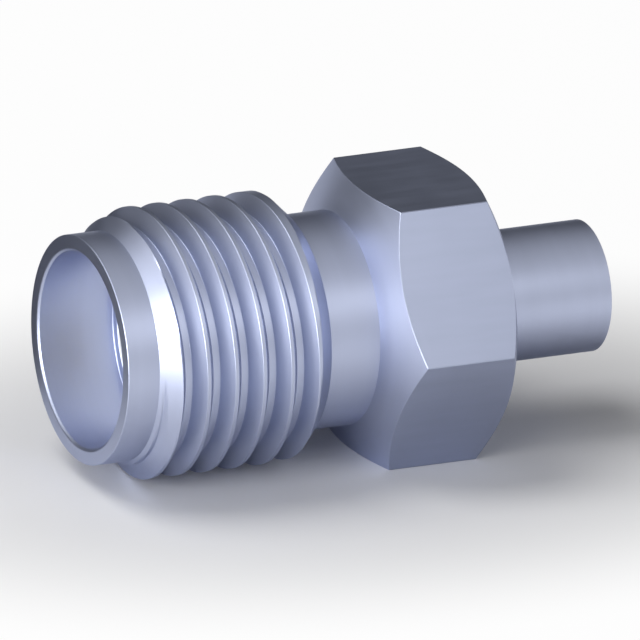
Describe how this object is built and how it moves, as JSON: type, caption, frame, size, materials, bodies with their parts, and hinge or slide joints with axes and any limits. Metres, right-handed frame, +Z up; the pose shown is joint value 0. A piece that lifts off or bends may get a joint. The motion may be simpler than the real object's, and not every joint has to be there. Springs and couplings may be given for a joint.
{
  "type": "sma jack connector",
  "caption": "Coaxial screw-coupled jack: smooth pilot, outside thread, relief neck, wrench hexagon and bored cable tail, with socket contact in white insulators.",
  "frame": {"origin": "on the axis, at the floor of the front bore: the mating reference plane", "axes": "-X points out of the mating mouth, +X runs along the cable, +Z is up with one flat of the hexagon facing down"},
  "size_m": [0.0128, 0.0074, 0.0064],
  "materials": {
    "body_steel": "passivated stainless steel, fine turned, satin",
    "ptfe": "smooth white, slightly waxy",
    "gold_contact": "gold plated, bright"
  },
  "bodies": {
    "root": {"body": "body_steel", "front_insulator": "ptfe", "rear_insulator": "ptfe", "centre_contact": "gold_contact"}
  },
  "joints": []
}
